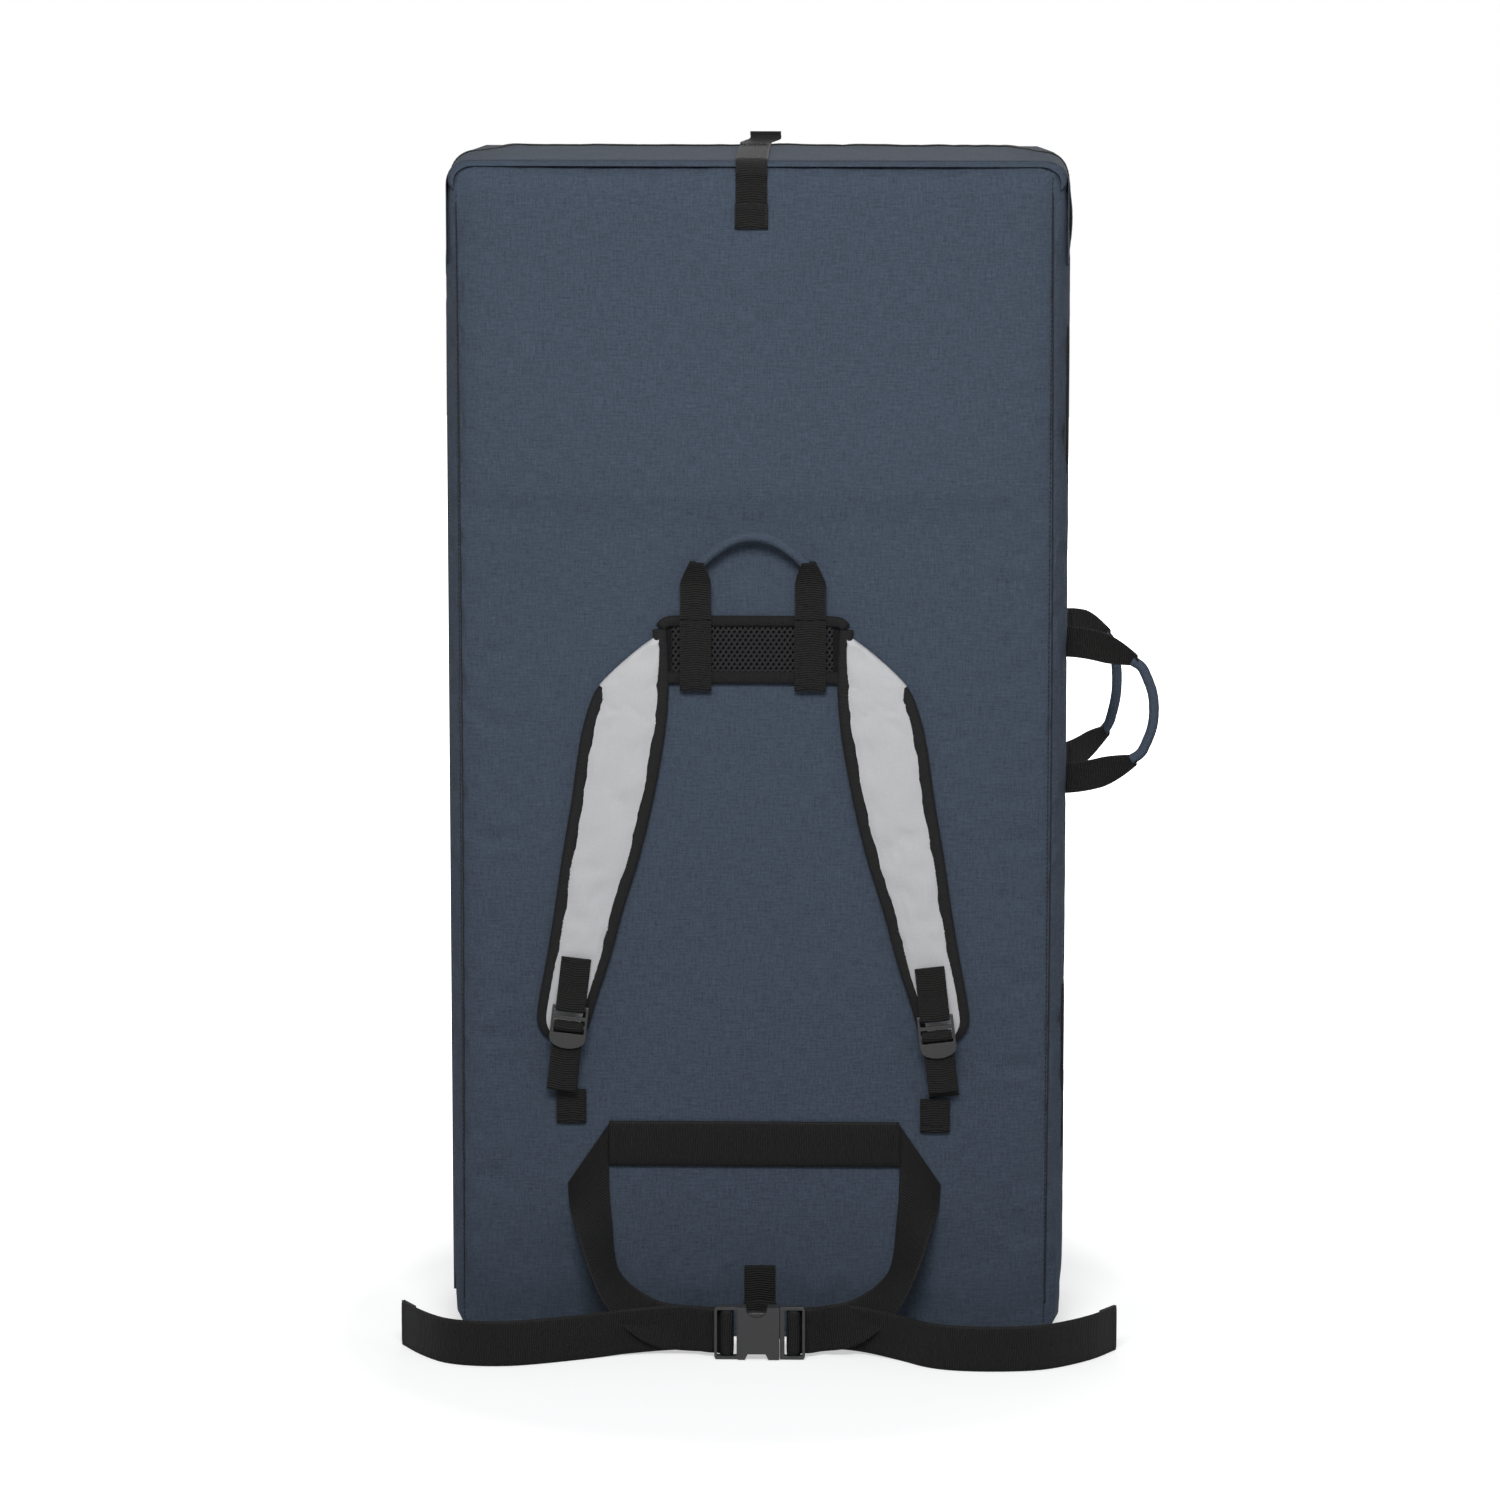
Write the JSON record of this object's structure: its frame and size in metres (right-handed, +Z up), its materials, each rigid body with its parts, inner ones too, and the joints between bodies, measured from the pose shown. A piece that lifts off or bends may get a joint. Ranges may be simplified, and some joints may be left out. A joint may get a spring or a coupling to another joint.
{
  "type": "bouldering crash pad",
  "caption": "Folded bouldering crash pad standing on its end, with shoulder straps, padded yoke, haul handle, waist belt with side-release buckle, top closure lid and side grab handles.",
  "frame": {"origin": "middle of the standing face of the front (carried) half, at its lowest level, in the middle of that half's thickness", "axes": "+Z up the folded pad's length, +Y from the harness side towards the rear half, +X to the right as seen from the harness side, towards the grab handles"},
  "size_m": [0.6563, 0.306, 1.0418],
  "materials": {
    "shell_fabric": "dark slate blue ballistic nylon, fine weave",
    "landing_fabric": "black heavy woven nylon",
    "firm_foam": "closed-cell foam, sealed inside",
    "soft_foam": "open-cell foam, sealed inside",
    "webbing": "black woven nylon webbing, matt",
    "mesh_fabric": "black spacer mesh",
    "strap_face": "light grey woven fabric",
    "loop_pile": "black loop pile",
    "hook_pile": "black hook tape",
    "buckle_plastic": "satin dark grey moulded acetal"
  },
  "bodies": {
    "front_half": {"front_cover": "shell_fabric", "front_landing_panel": "landing_fabric", "front_firm_foam": "firm_foam", "front_soft_foam": "soft_foam", "front_hinge_leaf": "landing_fabric", "closure_strap_front": "webbing", "yoke_pad": "webbing", "yoke_mesh": "mesh_fabric", "haul_patch_left": "webbing", "haul_patch_right": "webbing", "adjuster_left": "webbing", "adjuster_right": "webbing", "adjuster_anchor_left": "webbing", "adjuster_anchor_right": "webbing", "waist_band": "webbing", "base_tab": "webbing", "upper_flap_patch": "loop_pile", "lower_flap_patch": "loop_pile"},
    "rear_half": {"rear_cover": "shell_fabric", "rear_landing_panel": "landing_fabric", "rear_firm_foam": "firm_foam", "rear_soft_foam": "soft_foam", "rear_hinge_leaf": "landing_fabric", "closure_loop_patch": "loop_pile"},
    "lid_body": {"lid": "shell_fabric", "lid_binding": "webbing", "closure_strap_top": "webbing"},
    "closure_end": {"closure_hook_patch": "hook_pile", "closure_strap_end": "webbing"},
    "haul_handle": {"haul_leg_left": "webbing", "haul_leg_right": "webbing", "haul_grip": "shell_fabric"},
    "shoulder_left": {"shoulder_pad_left": "strap_face", "shoulder_binding_left": "webbing", "lock_tab_left": "webbing"},
    "shoulder_right": {"shoulder_pad_right": "strap_face", "shoulder_binding_right": "webbing", "lock_tab_right": "webbing"},
    "lock_left": {"ladder_lock_left": "buckle_plastic"},
    "lock_right": {"ladder_lock_right": "buckle_plastic"},
    "belt": {"waist_webbing_left": "webbing", "buckle_female": "buckle_plastic"},
    "buckle_plug": {"buckle_male": "buckle_plastic", "waist_webbing_right": "webbing"},
    "arm_upper": {"buckle_arm_upper": "buckle_plastic"},
    "arm_lower": {"buckle_arm_lower": "buckle_plastic"},
    "front_handle": {"front_handle_leg_upper": "webbing", "front_handle_leg_lower": "webbing", "front_handle_grip": "shell_fabric"},
    "rear_handle": {"rear_handle_leg_upper": "webbing", "rear_handle_leg_lower": "webbing", "rear_handle_grip": "shell_fabric"},
    "upper_flap": {"upper_side_flap": "hook_pile"},
    "lower_flap": {"lower_side_flap": "hook_pile"}
  },
  "joints": [
    {"name": "fold_hinge", "type": "hinge", "parent": "front_half", "child": "rear_half", "pos_m": [-0.272, 0.0469, 0], "axis": [0, 0, 1], "range_deg": [0, 180]},
    {"name": "lid_hinge", "type": "hinge", "parent": "front_half", "child": "lid_body", "pos_m": [0, -0.032, 1.0303], "axis": [1, 0, 0], "range_deg": [0, 120]},
    {"name": "closure_end_peel", "type": "hinge", "parent": "lid_body", "child": "closure_end", "pos_m": [-0.0045, 0.1038, 1.03351], "axis": [1, 0, 0], "range_deg": [0, 120]},
    {"name": "haul_handle_hinge", "type": "hinge", "parent": "front_half", "child": "haul_handle", "pos_m": [-0.003, -0.0537, 0.638], "axis": [1, 0, 0], "range_deg": [0, 150]},
    {"name": "shoulder_left_swing", "type": "hinge", "parent": "front_half", "child": "shoulder_left", "pos_m": [-0.07525, -0.045, 0.629], "axis": [-1, 0, 0], "range_deg": [0, 12], "deforming": ["adjuster_left"]},
    {"name": "shoulder_right_swing", "type": "hinge", "parent": "front_half", "child": "shoulder_right", "pos_m": [0.06925, -0.045, 0.629], "axis": [-1, 0, 0], "range_deg": [0, 12], "deforming": ["adjuster_right"]},
    {"name": "lock_left_tilt", "type": "hinge", "parent": "shoulder_left", "child": "lock_left", "pos_m": [-0.1605, -0.0621, 0.3], "axis": [-0.9934, 0, 0.1149], "range_deg": [0, 50], "deforming": ["adjuster_left"]},
    {"name": "lock_right_tilt", "type": "hinge", "parent": "shoulder_right", "child": "lock_right", "pos_m": [0.1545, -0.0621, 0.293], "axis": [-0.9934, 0, -0.1149], "range_deg": [0, 50], "deforming": ["adjuster_right"]},
    {"name": "belt_swing", "type": "hinge", "parent": "front_half", "child": "belt", "pos_m": [-0.002, -0.0453, 0.196], "axis": [-1, 0, 0], "range_deg": [0, 80]},
    {"name": "buckle_slide", "type": "slide", "parent": "belt", "child": "buckle_plug", "axis": [1, 0, 0], "range_m": [0, 0.04], "deforming": ["waist_webbing_right"]},
    {"name": "buckle_arm_upper_squeeze", "type": "hinge", "parent": "buckle_plug", "child": "arm_upper", "pos_m": [0.0213, -0.109, 0.0393], "axis": [0, -1, 0], "range_deg": [0, 8], "stiffness_Nm_per_rad": 0.05},
    {"name": "buckle_arm_lower_squeeze", "type": "hinge", "parent": "buckle_plug", "child": "arm_lower", "pos_m": [0.0213, -0.109, 0.0082], "axis": [0, 1, 0], "range_deg": [0, 8], "stiffness_Nm_per_rad": 0.05},
    {"name": "front_handle_swing", "type": "hinge", "parent": "front_half", "child": "front_handle", "pos_m": [0.26501, 0, 0], "axis": [0, 0, 1], "range_deg": [-70, 20]},
    {"name": "rear_handle_swing", "type": "hinge", "parent": "rear_half", "child": "rear_handle", "pos_m": [0.26501, 0.0938, 0], "axis": [0, 0, 1], "range_deg": [-50, 30]},
    {"name": "upper_flap_peel", "type": "hinge", "parent": "rear_half", "child": "upper_flap", "pos_m": [0.26302, 0.1258, 0.8255], "axis": [0, 0, 1], "range_deg": [0, 150]},
    {"name": "lower_flap_peel", "type": "hinge", "parent": "rear_half", "child": "lower_flap", "pos_m": [0.26302, 0.1258, 0.2415], "axis": [0, 0, 1], "range_deg": [0, 150]}
  ],
  "couplings": [
    {"joint": "buckle_arm_lower_squeeze", "follows": "buckle_arm_upper_squeeze", "ratio": 1}
  ]
}
